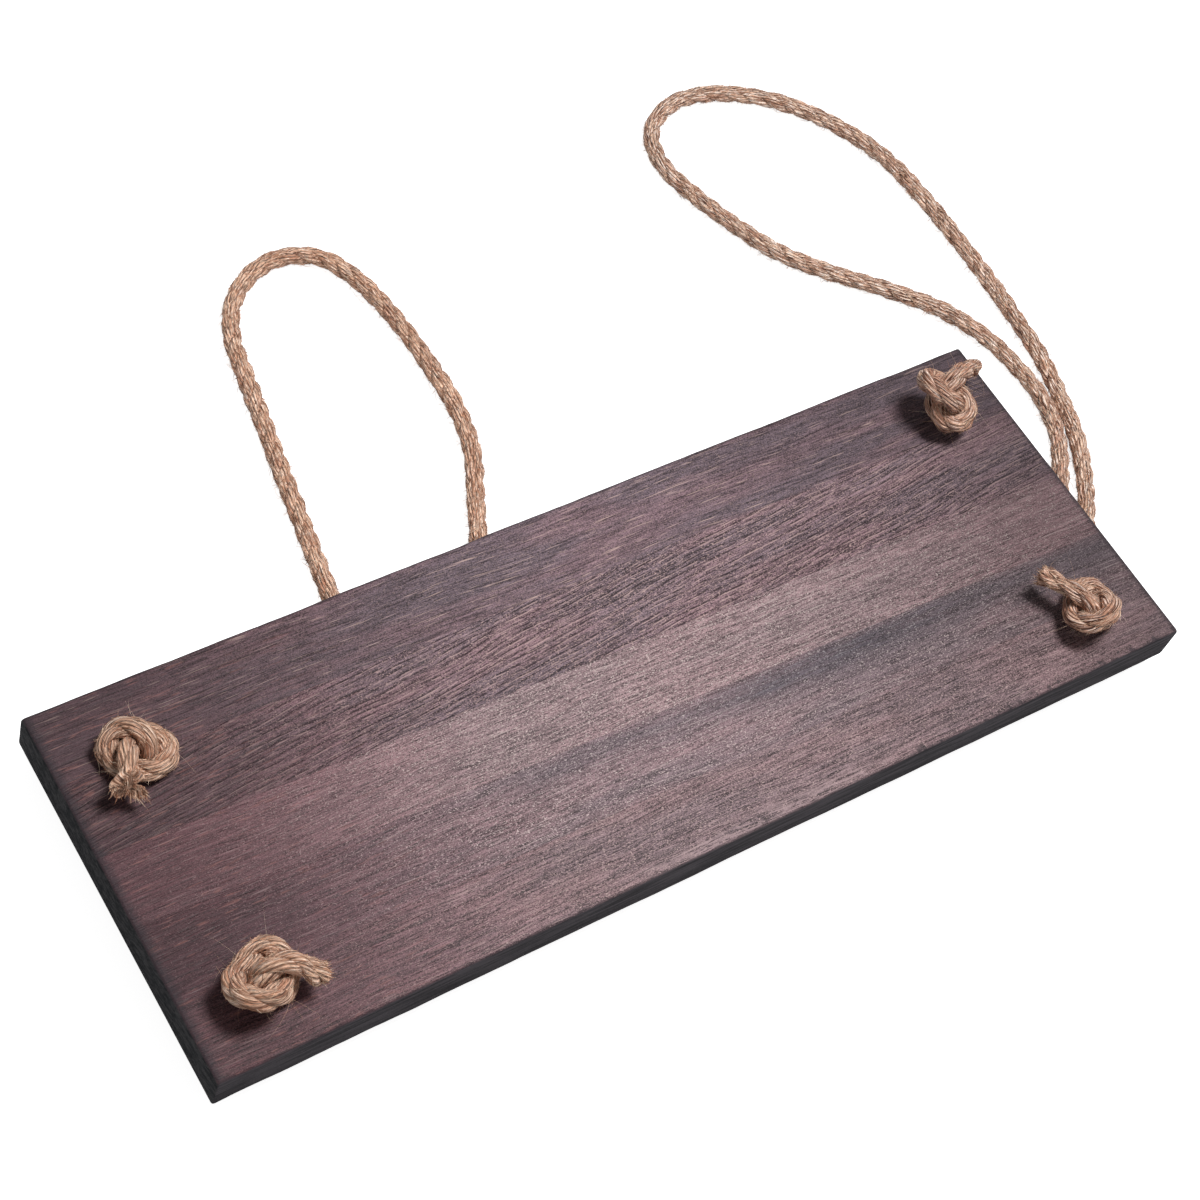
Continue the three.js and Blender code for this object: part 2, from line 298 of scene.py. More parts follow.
def wood_material(name, look, seed):
    """The stained wood of one stave, in the grain's own directions on Object coordinates.

    Threads are noise stretched along the grain. The stain lies dark in the deep ones, thin on the
    high ones, and in slow patches of plum and blue. Annual rings are sines across the grain, in
    broken strokes, with a painted highlight beside each. It is paler in the middle, partly by painted
    light falloff and sheen. The board's outer faces and its rim are darker, and painted shade darkens
    the long sides at their foot.
    """
    material, shade = new_material(name)
    x, y, z = shade.node("ShaderNodeTexCoord", {}, {}, 3).parts()
    leftward = 0 - x
    from_front, from_back = board_half_width + y, board_half_width - y
    from_left, from_right = board_half_length + x, board_half_length - x

    # The grain runs at its slope and wanders
    slope = math.tan(math.radians(look["slope"]))
    wave = shade.noise(x * 18 + seed, y * 30, z * 30, 1.0) - 0.5
    ripple = shade.noise(x * 75 + seed, y * 60, z * 60, 1.0) - 0.5
    across = y - x * slope + wave * grain_wave + ripple * look["ripple"]

    def threads(number, length, width, detail=1.0, roughness=0.5):
        along = x * (1 / length) + seed * number
        return shade.noise(along, across * (1 / width), z * (1 / width), detail, roughness)

    coarse = threads(1, 0.020, 0.0016, 3.0, 0.6) - 0.5
    fine = threads(2, 0.008, 0.00038) - 0.5
    streak = threads(9, 0.028, 0.0007) - 0.5
    patch = threads(3, 0.085, 0.013, 3.0, 0.55)
    haze = threads(4, 0.150, 0.035, 2.0, 0.55) - 0.5
    pores = threads(5, 0.022, 0.0010)
    broken = threads(6, 0.009, 0.0024, 1.0, 0.55).rise(0.36, 0.56)
    sparse = threads(8, 0.006, 0.0016, 1.0, 0.55).rise(0.48, 0.62)
    glints = threads(7, 0.015, 0.00045, 1.0, 0.55)
    speckle = shade.noise(x * 2000, y * 3300, z * 3300, 0.0) - 0.5
    sparks = shade.noise(x * 1500 + seed, y * 3000, z * 3000, 0.0).rise(0.62, 0.76)
    drift = shade.noise(x * 22 + seed, y * 90, z * 90, 1.0) - 0.5
    rings = across * (1 / ring_pitch) + drift * 2.2
    ring_dark = shade.maths("SINE", rings * (2 * math.pi)).rise(0.35, 0.98)
    # Where the painted highlight beside each dark ring goes
    ring_highlight = shade.maths("SINE", (rings + 0.3) * (2 * math.pi)).rise(0.65, 1.0)

    # The stain, with the grain calmer and the colour warmer towards the ends
    tint = patch.rise(0.4, 0.62).mix(look["blue"], look["plum"])
    tint = (leftward.rise(0.04, 0.2) * 0.45).mix(tint, warm_stain)
    tint = (x.rise(0.1, 0.2) * look["right_warm"]).mix(tint, warm_stain)
    calm = 1 - leftward.rise(0.07, 0.21) * 0.5 - x.rise(0.14, 0.21) * 0.3
    tone = 1 + coarse * look["coarse"] + fine * calm * look["fine"] + haze * look["haze"]
    tone = tone + speckle * calm * look["speckle"] + streak * look["streak"]
    dark = pores.rise(0.58, 0.66) * look["pore"]
    stroke = ring_dark * broken * calm * look["ring"]
    tone = tone * (1 - dark) * (1 - stroke)
    colour = tint.scaled(tone.maths("MAXIMUM", tone, 0.25))
    colour = (glints.rise(0.65, 0.73) * look["glint"]).mix(colour, look["light"])
    # A painted highlight beside each dark ring, in the bare wood's colour, as on a raised edge
    colour = (ring_highlight * sparse * look["ridge"]).mix(colour, look["light"])
    colour = (sparks * calm * look["spark"]).mix(colour, look["light"])
    colour = (leftward.rise(0.05, 0.22) * look["redness"]).mix(colour, redder, "MULTIPLY")

    # It is palest near the middle of the board and darker towards its ends: partly painted light falloff
    # and sheen, partly the stain
    centre = 1 - abs(x - look["middle"]).rise(0.0, 0.25)
    level = look["ends"] + centre * (1 - look["ends"])
    level = level * (1 - leftward.rise(0.08, 0.21) * look["left"])
    level = level * (1 - x.rise(0.15, 0.212) * look["right"])
    colour = colour.scaled(level)

    # The dark band under its glue line, and red threads where the left end is rubbed
    below = band_seam + band_seam_fall * x - y
    band = below.rise(-0.003, 0.004) * (1 - below.rise(0.005, 0.019)) * look["band"]
    band = band * (0.9 + coarse + fine) * (1 - x.rise(0.09, 0.17) * 0.45)
    band = band * (x.rise(-0.09, -0.05) * 0.45 + x.rise(0.0, 0.05) * 0.55)
    colour = band.mix(colour, band_darker, "MULTIPLY")
    red = shade.noise(x * 110, y * 1100, z * 1100, 1.0).rise(0.62, 0.72)
    colour = (red * leftward.rise(0.05, 0.2) * 0.33).mix(colour, red_wood)

    # The front edge is worn pale a little right of the middle, and nicked further right
    ragged = shade.noise(x * 260, y * 500, z * 500, 3.0, 0.7) - 0.5
    worn = from_front.rise(0.010, 0.0015) * (ragged + haze + fine).rise(-0.1, 0.14)
    worn = worn * x.rise(-0.06, -0.01) * (1 - x.rise(0.05, 0.09)) * look["worn"]
    colour = worn.mix(colour, worn_wood)
    nicks = shade.noise(x * 330, y * 330, z * 330, 1.0).rise(0.58, 0.64)
    nicks = nicks * from_front.rise(0.0040, 0.0022) * x.rise(0.07, 0.09) * look["worn"]
    colour = nicks.mix(colour, rim_stain)

    # The rim, the long sides with painted shade darkest at their foot by the table, and the end grain in
    # arcs
    back_rim = (from_back - ragged * 0.002).rise(0.0015, 0.0002)
    front_rim = (from_front - ragged * 0.002).rise(0.0012, 0.0003)
    right_rim = (from_right - ragged * 0.002).rise(0.0035, 0.0008)
    left_rim = (from_left - ragged * 0.004).rise(0.0055, 0.0008)
    inside = (1 - back_rim) * (1 - front_rim) * (1 - right_rim) * (1 - left_rim)
    colour = ((1 - inside) * 0.75).mix(colour, rim_stain)
    side = (board_half_width - abs(y)).rise(0.00045, 0.0001)
    side_grain = shade.noise(x * 32 + seed, z * 60, z * 520, 4.0, 0.65).rise(0.36, 0.64)
    # Painted shade: the long sides grow darker towards their foot
    foot = z.rise(0.02, board_low) * 0.4
    colour = side.mix(colour, foot.mix(side_grain.mix(*side_stains), painted_foot_shade))
    end = (board_half_length - abs(x)).rise(0.0007, 0.0001)
    arcs = shade.noise(y * 300 + z * 300, z * 520 - abs(y) * 90, x * 60 + seed, 3.0, 0.6)
    colour = end.mix(colour, arcs.rise(0.38, 0.64).mix(*end_stains))

    height = coarse * 0.6 + fine * 0.8 + sparks * 0.3 - dark * 0.5 - stroke * 1.2
    shade.surface({
        "Base Color": colour,
        "Roughness": 0.5 + fine * 0.4 + dark * 0.15 + side * 0.4 + end * 0.4,
        "Normal": height.raised(0.8, 0.0003),
        "Specular IOR Level": 0.2,
    })
    return material


# How a stave looks. slope is the grain's angle to the board in degrees, and ripple its waves in metres.
# From coarse to right_warm, each number is how strong one pattern or tint is. A stave is palest at
# middle and goes down to ends times that towards both ends, and left and right darken one end more:
# partly painted light falloff and sheen, partly the stain.
# plum and blue are the stain's two colours, and light is the bare wood's.
plain_look = {
    "slope": 1.0, "ripple": 0.0006, "coarse": 0.7, "fine": 2.8, "streak": 0.9, "haze": 0.6,
    "speckle": 2.2, "spark": 0.8, "glint": 0.5, "pore": 0.35, "ring": 0.0, "ridge": 0.0,
    "worn": 0.0, "band": 0.0, "redness": 0.0, "right_warm": 0.0,
    "ends": 0.45, "left": 0.1, "right": 0.12, "middle": 0.02,
    "plum": paint(125, 101, 108), "blue": paint(112, 96, 104), "light": paint(222, 190, 182),
}
stave_looks = {
    "back_stave": {
        "slope": -1.0, "fine": 2.0, "streak": 0.6, "speckle": 2.3, "spark": 0.3, "glint": 0.7,
        "pore": 0.4,
    },
    "back_middle_stave": {
        "slope": 5.0, "ripple": 0.0008, "coarse": 1.0, "haze": 1.2, "speckle": 2.8, "pore": 0.2,
        "ring": 0.7, "ridge": 0.6, "redness": 0.3, "ends": 0.6, "left": 0.42, "right": 0.2,
        "plum": paint(134, 107, 113), "blue": paint(117, 99, 106), "light": paint(212, 180, 176),
    },
    "middle_stave": {
        "slope": -0.5, "ripple": 0.0004, "coarse": 0.35, "fine": 2.4, "haze": 0.4, "spark": 0.9,
        "pore": 0.2, "redness": 1.0, "right_warm": 0.3,
        "ends": 0.5, "left": 0.25, "right": 0.0, "middle": -0.01,
        "plum": paint(156, 129, 132), "blue": paint(146, 123, 126), "light": paint(228, 208, 204),
    },
    "front_middle_stave": {
        "slope": -0.5, "coarse": 0.5, "fine": 2.4, "speckle": 2.3, "spark": 0.9, "pore": 0.2,
        "band": 1.0, "redness": 0.9, "ends": 0.55, "left": 0.43, "middle": -0.02,
        "plum": paint(139, 114, 118), "blue": paint(123, 105, 110), "light": paint(224, 202, 200),
    },
    "front_stave": {
        "slope": -0.3, "streak": 1.5, "speckle": 2.7, "pore": 0.15, "worn": 0.65,
        "redness": 0.6, "ends": 0.7, "left": 0.35, "middle": -0.01,
        "plum": paint(133, 108, 111), "blue": paint(120, 101, 105), "light": paint(212, 184, 181),
    },
}

# The holes' places, and the drill that breaks the wood's edge a little on both faces
rope_holes = {
    "back_left": (-0.18198, 0.0424),
    "front_left": (-0.1823, -0.0454),
    "back_right": (0.1886, 0.0454),
    "front_right": (0.1848, -0.0499),
}
hole_radius = 0.0045
hole_break = 0.0004
drill_past = 0.001
drill_sides = 48


def drill_body(x, y):
    """A turned drill: the hole's radius through the board, growing at 45 degrees at both faces."""
    shank = [board_low + hole_break, board_high - hole_break]
    heights = np.array([board_low - drill_past, *shank, board_high + drill_past])
    wide = hole_radius + hole_break + drill_past
    radii = [wide, hole_radius, hole_radius, wide]
    angle = np.linspace(0, 2 * math.pi, drill_sides, endpoint=False)
    rings = np.stack([
        x + np.outer(radii, np.cos(angle)),
        y + np.outer(radii, np.sin(angle)),
        np.repeat(heights[:, None], drill_sides, 1),
    ], -1)
    drill = bpy.data.objects.new("drill", closed_mesh("drill", rings, {}))
    bpy.context.scene.collection.objects.link(drill)
    return drill


def drilled(stave):
    """Cuts the four holes out of a stave for good."""
    drills = [drill_body(x, y) for x, y in rope_holes.values()]
    for drill in drills:
        cut = stave.modifiers.new("hole", "BOOLEAN")
        cut.operation = "DIFFERENCE"
        cut.solver = "EXACT"
        cut.object = drill
    bpy.context.view_layer.update()
    shape = stave.evaluated_get(bpy.context.evaluated_depsgraph_get())
    mesh = bpy.data.meshes.new_from_object(shape)
    stave.modifiers.clear()
    stave.data = mesh
    for drill in drills:
        bpy.data.objects.remove(drill)


for k, (stave_name, own_look) in enumerate(stave_looks.items()):
    is_back, is_front = k == 0, k == len(stave_looks) - 1
    stave = shown(
        stave_name + "_wood",
        stave_mesh(stave_name, seam_shares[k], seam_shares[k + 1], is_back, is_front, 10 + k),
        wood_material("stained_" + stave_name, {**plain_look, **own_look}, 3.7 * (k + 1)),
    )
    drilled(stave)
    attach(stave, "board")
    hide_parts(stave_name)


# The ropes
# Two lengths of 8 mm jute rope, three strands laid to the right. Each goes down through a back hole,
# under the board, out in a loop, back under the board and up through the front hole.
rope_radius = 0.004
lay_length = 0.028
strands = 3
sides_per_strand = 20
sides = strands * sides_per_strand
rope_step = 0.0008

# The gap where two pieces of a rope meet
seat_gap = 0.0003

# The strands of a rope, in shares of its radius: where their centres lie, how thick they are, how deep
# the creases between them and the yarns on them go, and how much the rope's thickness wanders. The
# creases' width is an angle, and the yarns are waves, so many round the rope.
strand_reach = 0.34
strand_size = 0.66
crease_depth = 0.05
crease_width = 0.17
yarn_depth = 0.027
yarn_waves = (4, 6, 7, 9)
thickness_wander = 0.035

# A run under the board: where it ends in its hole, the turn out of the hole, the height that the
# board presses it to, and how far out it lies round again
run_top = 0.0123
turn_radius = 0.005
turn_steps = 7
pressed_height = 0.0032
rise_length = 0.020

# Directions to try for the rope's frames, spread evenly over a ball by turns of the golden angle
frame_tries = 400
golden_angle = 2.39996


def even_points(points, step):
    """Points at even distances along a line of points, the nearest whole number of steps."""
    lengths = np.linalg.norm(np.diff(points, axis=0), axis=1)
    along = np.concatenate([[0], np.cumsum(lengths)])
    count = max(int(round(along[-1] / step)), 4)
    at = np.linspace(0, along[-1], count + 1)
    return np.stack([np.interp(at, along, points[:, k]) for k in range(3)], 1)


def centripetal_line(points, samples=24):
    """A smooth line through the points: on each span a cubic whose slopes at its ends come from the
    neighbours, with the square root of each distance for its share of time."""
    points = np.asarray(points, float)
    ends = np.vstack([2 * points[0] - points[1], points, 2 * points[-1] - points[-2]])
    times = np.sqrt(np.linalg.norm(np.diff(ends, axis=0), axis=1))[:, None]
    a, b, c, d = ends[:-3], ends[1:-2], ends[2:-1], ends[3:]
    before, here, after = times[:-2], times[1:-1], times[2:]
    slope_b = ((b - a) / before - (c - a) / (before + here) + (c - b) / here) * here
    slope_c = ((c - b) / here - (d - b) / (here + after) + (d - c) / after) * here
    t = np.linspace(0, 1, samples, endpoint=False)[None, :, None]
    b, c, slope_b, slope_c = b[:, None], c[:, None], slope_b[:, None], slope_c[:, None]
    line = b * (2 * t**3 - 3 * t**2 + 1) + slope_b * (t**3 - 2 * t**2 + t)
    line = line + c * (3 * t**2 - 2 * t**3) + slope_c * (t**3 - t**2)
    return np.vstack([line.reshape(-1, 3), points[-1:]])


def rope_frames(line):
    """Two directions across the line at each point that turn with it but never about it.

    Both start square to a direction that the line never follows; the little turn that they make
    about the line from point to point is summed and taken out again.
    """
    ahead = np.gradient(line, axis=0)
    ahead /= np.linalg.norm(ahead, axis=1)[:, None]
    turns = np.arange(frame_tries) * golden_angle
    heights = 1 - (np.arange(frame_tries) + 0.5) * 2 / frame_tries
    flat = np.sqrt(1 - heights**2)
    tries = np.stack([flat * np.cos(turns), flat * np.sin(turns), heights], 1)
    clear = tries[np.argmin(np.abs(ahead @ tries.T).max(0))]
    across = clear - (ahead @ clear)[:, None] * ahead
    across /= np.linalg.norm(across, axis=1)[:, None]
    upward = np.cross(ahead, across)
    change = np.einsum("ij,ij->i", np.diff(across, axis=0), (upward[1:] + upward[:-1]) / 2)
    angle = -np.concatenate([[0], np.cumsum(change)])[:, None]
    return (across * np.cos(angle) + upward * np.sin(angle),
            upward * np.cos(angle) - across * np.sin(angle))


def rope_section(along, seed, opened):
    """The distance from the rope's axis to its surface over its radius, along it and round it.

    Three circles of strand_size of the radius, with their centres strand_reach of it out, give the
    outline, with a crease where they meet. The yarns are twisted against the lay, so that their
    ridges run along the rope and not along the strands: waves round it whose phases wander.
    opened, a share of the radius, spreads the strands towards a cut end, and below 0 it draws them
    together.
    """
    side = np.arange(sides) / sides_per_strand
    within = (side - np.floor(side) - 0.5) * 2 * math.pi / strands
    opened = opened[:, None]
    reach = strand_reach + opened
    size = strand_size - 0.15 * opened
    inside = np.maximum(size**2 - (reach * np.sin(within)) ** 2, 0.0)
    outline = reach * np.cos(within) + np.sqrt(inside)
    edge = (math.pi / strands - np.abs(within)) / crease_width
    outline = np.maximum(outline - crease_depth * np.exp(-edge**2), 0.3)
    angle = side * 2 * math.pi / strands + (along * 2 * math.pi / lay_length)[:, None]
    own = np.floor(side) * 2.3
    ridges = np.zeros((len(along), sides))
    for k, waves in enumerate(yarn_waves):
        drift = 2.2 * wander(seed * 40 + k, along, 0.016)[:, None]
        strength = 0.55 + 0.45 * wander(seed * 40 + 10 + k, along, 0.012)[:, None]
        ridges += strength * np.sin(waves * angle + drift + own * (k + 1))
    swell = 1 + thickness_wander * wander(seed * 40 + 30, along, 0.011)[:, None]
    return outline * swell * (1 + yarn_depth * ridges * outline**2), outline, ridges


def rope_rings(line, radius, seed, opened):
    """The rope's surface: the section, turned with the lay, on the frames of the centre line.

    Nothing of it goes below the table. hollow is 1 deep in the creases, and ridge is 1 on a yarn.
    """
    across, upward = rope_frames(line)
    along = np.concatenate([[0], np.cumsum(np.linalg.norm(np.diff(line, axis=0), axis=1))])
    reach, outline, ridges = rope_section(along, seed, opened)
    angle = np.arange(sides) * 2 * math.pi / sides
    angle = (angle[None, :] + (along * 2 * math.pi / lay_length)[:, None])[..., None]
    out = across[:, None, :] * np.cos(angle) + upward[:, None, :] * np.sin(angle)
    rings = line[:, None, :] + out * (reach * radius[:, None])[..., None]
    rings[..., 2] = np.maximum(rings[..., 2], 0.0)
    hollow = np.clip((1 - outline) / (1 - outline.min()), 0, 1)
    return {"rings": rings, "along": along, "out": out, "hollow": hollow, "ridge": ridges * 0.2 + 0.5}


def wrap_map(mesh, lengths):
    """The rope's own map: u once round its sides, v the length along it in metres."""
    i, j = np.meshgrid(np.arange(len(lengths) - 1), np.arange(sides), indexing="ij")
    u = np.stack([j, j + 1, j + 1, j], -1) / sides
    v = np.stack([lengths[i], lengths[i], lengths[i + 1], lengths[i + 1]], -1)
    quads = np.stack([u, v], -1).reshape(-1, 2)
    first = np.stack([np.arange(sides)[::-1] / sides, np.full(sides, lengths[0])], 1)
    last = np.stack([np.arange(sides) / sides, np.full(sides, lengths[-1])], 1)
    layer = mesh.uv_layers.new(name="rope_map")
    layer.data.foreach_set("uv", np.concatenate([quads, first, last]).astype(np.float32).ravel())


# The jute's colours; groove, valley, gap and crease are painted shade
jute = {
    "straw": paint(176, 128, 100), "pale": paint(220, 180, 152), "bleached": paint(232, 206, 188),
    "brown": paint(134, 88, 70), "red": paint(178, 114, 88), "groove": paint(134, 86, 64),
    "valley": paint(108, 66, 46), "gap": paint(84, 50, 36), "crease": paint(92, 56, 40),
}


def jute_material(name, seed, gain, contrast, broken):
    """Natural jute: fibres that run along the rope within each strand, pale, reddish and dark.

    Noise and sines on the rope's map, turned back by the lay, are the fibres, the yarns and the gaps
    between them, with painted shade in the gaps, the grooves and the creases. contrast is how far their
    colours stand apart, broken how many times shorter they are than in a calm rope, and gain what each
    of the colour's three numbers is multiplied by; the loops' higher gain is painted light.
    """
    material, shade = new_material(name)
    round_share, along, _ = shade.node("ShaderNodeUVMap", {"uv_map": "rope_map"}, {}).parts()
    hollow = shade.node("ShaderNodeAttribute", {"attribute_name": "hollow"}, {}, 2)
    ridge = shade.node("ShaderNodeAttribute", {"attribute_name": "ridge"}, {}, 2)
    own = shade.maths("FLOOR", round_share * strands) * 5.3 + seed
    place = round_share + along * (1 / lay_length)
    drift = shade.noise(place * 3, along * 60, own, 1.0) - 0.5
    place = place + drift * 0.09
    fibre = shade.noise(place * 70, along * 160 * broken, own, 1.0)
    thread = shade.noise(place * 24, along * 70 * broken, own + 40.0)
    gap = shade.noise(place * 44, along * 130 * broken, own + 80.0, 1.0)
    blotch = shade.noise(place * 4, along * 60, own + 120.0)
    bits = shade.noise(place * 60, along * 800, own + 160.0, 1.0) - 0.5
    yarn = abs(shade.maths("SINE", place * (16 * math.pi) + own))
    valley = (1 - yarn.rise(0.05, 0.45)) * thread.rise(0.66, 0.4)

    colour = thread.rise(0.38, 0.62).mix(jute["straw"], jute["pale"])
    colour = (fibre.rise(0.54, 0.64) * 0.8 * contrast).mix(colour, jute["bleached"])
    colour = ((1 - fibre.rise(0.36, 0.46)) * 0.65 * contrast).mix(colour, jute["brown"])
    colour = (blotch.rise(0.52, 0.75) * 0.35).mix(colour, jute["red"])
    # Painted shade in the grooves between yarn ridges, in the valleys of the yarns and in the gaps
    # between fibres
    colour = ((1 - ridge.rise(0.2, 0.5)) * 0.25 * contrast).mix(colour, jute["groove"])
    colour = (valley * 0.5 * contrast).mix(colour, jute["valley"])
    colour = (gap.rise(0.59, 0.67) * 0.75 * contrast).mix(colour, jute["gap"])
    # Painted shade deep in the creases between the strands, then tone that differs at random
    colour = (hollow.rise(0.55, 1.0) * 0.5).mix(colour, jute["crease"]).scaled(1 + bits * 1.6)
    height = fibre * 0.5 + thread * 0.8 + yarn * 0.8 - gap.rise(0.55, 0.7) * 0.6
    shade.surface({
        "Base Color": shade.node("ShaderNodeVectorMath", {"operation": "MULTIPLY"}, {0: colour, 1: gain}),
        "Roughness": 0.65, "Normal": height.raised(1.0, 0.0007), "Specular IOR Level": 0.35,
        "Sheen Weight": 0.1, "Sheen Roughness": 0.5,
    })
    return material


knot_jute = {
    "left": jute_material("left_laid_jute", 1.0, (1.29, 1.31, 1.34), 0.85, 1.0),
    "right": jute_material("right_laid_jute", 2.0, (1.24, 1.24, 1.3), 1.5, 1.0),
}
# The loops are the same jute as the knots, with painted light: their colour is made brighter for the
# light that the white table throws on them
loop_jute_painted_lit = {
    "left": jute_material("left_pale_jute", 3.0, (1.6, 1.65, 1.7), 1.0, 1.7),
    "right": jute_material("right_pale_jute", 3.0, (1.54, 1.7, 1.85), 1.3, 1.5),
}


def rope_piece(name, rope, first, last, material):
    """The stretch of a rope from one ring to another, as an object of its own."""
    part = slice(first, last + 1)
    values = {"hollow": rope["hollow"][part], "ridge": rope["ridge"][part]}
    mesh = closed_mesh(name, rope["rings"][part], values)
    wrap_map(mesh, rope["along"][part])
    return shown(name, mesh, material)


# The routes of the ropes over the table, as x and y, each from its back hole to its front hole
routes = {
    "left": {
        "back_run": [
            [-0.176, 0.033], [-0.160, 0.014], [-0.137, 0.004], [-0.113, 0.010], [-0.095, 0.031],
            [-0.086, 0.050], [-0.083, 0.062], [-0.082, 0.068],
        ],
        "loop": [
            [-0.082, 0.068], [-0.081, 0.074], [-0.078, 0.096], [-0.074, 0.119], [-0.070, 0.143],
            [-0.065, 0.170], [-0.061, 0.193], [-0.057, 0.212], [-0.048, 0.228], [-0.034, 0.2385],
            [-0.019, 0.2415], [-0.004, 0.236], [0.0045, 0.223], [0.009, 0.207], [0.0115, 0.188],
            [0.0123, 0.168], [0.0118, 0.147], [0.0075, 0.126], [-0.003, 0.1045], [-0.018, 0.076],
            [-0.021, 0.070],
        ],
        "front_run": [
            [-0.021, 0.070], [-0.024, 0.064], [-0.034, 0.042], [-0.050, 0.016], [-0.072, -0.010],
            [-0.098, -0.031], [-0.128, -0.046], [-0.154, -0.052], [-0.171, -0.051],
        ],
    },
    "right": {
        "back_run": [
            [0.175, 0.034], [0.167, 0.020], [0.163, 0.003], [0.166, -0.014], [0.176, -0.025],
            [0.189, -0.028], [0.200, -0.0235], [0.204, -0.020],
        ],
        "loop": [
            [0.204, -0.020], [0.208, -0.0165], [0.220, -0.0045], [0.239, 0.019], [0.248, 0.034],
            [0.2524, 0.050], [0.2524, 0.067], [0.2485, 0.088], [0.239, 0.107], [0.222, 0.126],
            [0.203, 0.144], [0.187, 0.163], [0.177, 0.184], [0.1695, 0.205], [0.1658, 0.223],
            [0.1705, 0.241], [0.185, 0.252], [0.203, 0.254], [0.224, 0.2465], [0.243, 0.232],
            [0.257, 0.213], [0.2665, 0.191], [0.2698, 0.166], [0.2705, 0.140], [0.270, 0.115],
            [0.2685, 0.090], [0.266, 0.068], [0.261, 0.0475], [0.2545, 0.0275], [0.244, 0.008],
            [0.230, -0.011], [0.212, -0.033], [0.208, -0.0375],
        ],
        "front_run": [[0.208, -0.0375], [0.204, -0.042], [0.197, -0.047]],
    },
}


def run_line(hole, route):
    """A rope's line from its hole to its loop: it stands in the hole, turns over a quarter circle,
    is pressed flat where the board's weight is on it and lies round again further out."""
    start = np.array(rope_holes[hole])
    route = np.array(route)
    away = route[0] - start
    away /= np.linalg.norm(away)
    bend = np.linspace(0, math.pi / 2, turn_steps)
    flat = start + np.outer(turn_radius * (1 - np.cos(bend)), away)
    high = pressed_height + turn_radius * (1 - np.sin(bend))
    along = np.cumsum(np.linalg.norm(np.diff(np.vstack([start, route]), axis=0), axis=1))
    rise = smooth_steps(turn_radius, rise_length, along)
    low = pressed_height + (rope_radius - pressed_height) * rise
    points = [[*start, run_top], *np.column_stack([flat, high]), *np.column_stack([route, low])]
    return even_points(centripetal_line(points), rope_step)


def loop_line(route):
    """The free loop's line, a rope's radius above the surface, its ends a seat gap short."""
    flat = np.column_stack([route, np.full(len(route), rope_radius)])
    for end, beside in ((0, 1), (-1, -2)):
        ahead = flat[beside] - flat[end]
        flat[end] += ahead * seat_gap / np.linalg.norm(ahead)
    return even_points(centripetal_line(flat), rope_step)


# How far a pull has drawn the strands together in each loop, as a share of the rope's radius, and the
# length over which that comes in at the loop's ends
drawn_together = {"left": 0.03, "right": 0.05}
drawn_in_length = 0.01

# A loose overhand knot in a rope that stands up out of its hole, in rope diameters from the mouth
loose_knot = np.array([
    [0, 0, -1], [0, 0, 0], [0, 0, 1.2], [1.6, 0.6, 3], [2.2, 3, 3.6], [0, 4.2, 3], [-2.2, 3, 2],
    [-2.2, 0, 1.2], [0, -1.8, 1.2], [2.2, -0.6, 1.6], [2.4, 1.8, 1.4], [0.8, 2.6, 3], [0, 2, 5],
    [0, 0, 6.5],
])

# How each knot was pulled: the hand that tied it, its turn about the hole in degrees, where its tail
# ends in diameters of the rope in the knot, that diameter as a share of the rope's own, its sag each
# round, how far its cut end has opened as a share of the radius, and how much the rope has swollen
# in the knot and in the tail
knots = {
    "back_left": {
        "hand": 1, "turn": 52, "tail": [-2.1, -1.75, 1.75], "drawn": 0.88, "sag": 0.004,
        "opened": 0.55, "swollen": 0.12, "tail_swollen": 0.1,
    },
    "front_left": {
        "hand": -1, "turn": 121, "tail": [1.75, -1.85, 1.35], "drawn": 0.97, "sag": 0.002,
        "opened": 0.2, "swollen": 0.1, "tail_swollen": -0.02,
    },
    "back_right": {
        "hand": -1, "turn": 42, "tail": [2.5, 2, 1.5], "drawn": 0.9, "sag": 0.0,
        "opened": 0.12, "swollen": 0.15, "tail_swollen": -0.12,
    },
    "front_right": {
        "hand": -1, "turn": 138, "tail": [-2.1, 2, 1.7], "drawn": 0.9, "sag": 0.002,
        "opened": 0.2, "swollen": 0.1, "tail_swollen": -0.02,
    },
}

# How far from its cut end a rope has opened, where its tail's own thickness ends and where the knot's
# begins, how uneven it is in the knot, and the gap between it and the board that it lies on
opened_length = 0.009
tail_length = 0.009
tail_faded = 0.016
knot_unevenness = 0.07
clear_of_board = 0.00005

# Drawing a knot tight, in rope diameters: the distance between places on its line, its tightest bend,
# the gap that the rope keeps from itself, and its middle's height over the board once it is past the
# hole's reach. Its first places stay on the hole's axis up to a height. The tied line is kept from its
# mouth on, and a smooth one goes through it in longer steps.
knot_step = 0.25
knot_bend = 0.58
knot_gap = 0.07
knot_lift = 0.54
hole_reach = 0.3
axis_places = 12
axis_height = 0.35
knot_mouth = 0.4
tied_step = 0.4

# The rounds of a hard pull and then of a soft one, how far each moves a point towards the middle of its
# neighbours, and how much of what is too near is pushed apart at a time
hard_rounds = 360
soft_rounds = 60
hard_pull = 0.35
soft_pull = 0.12
push_share = 0.4


def spline_line(points, count):
    """count points on the uniform smooth curve through the points, each span a cubic whose slopes
    are half the way between its neighbours."""
    ends = np.vstack([2 * points[0] - points[1], points, 2 * points[-1] - points[-2]])
    t = np.linspace(0, len(points) - 1, count)
    k = np.minimum(t.astype(int), len(points) - 2)
    f = (t - k)[:, None]
    a, b, c, d = ends[k], ends[k + 1], ends[k + 2], ends[k + 3]
    squared, cubed = 2 * a - 5 * b + 4 * c - d, 3 * b - a - 3 * c + d
    return 0.5 * (2 * b + (c - a) * f + squared * f**2 + cubed * f**3)


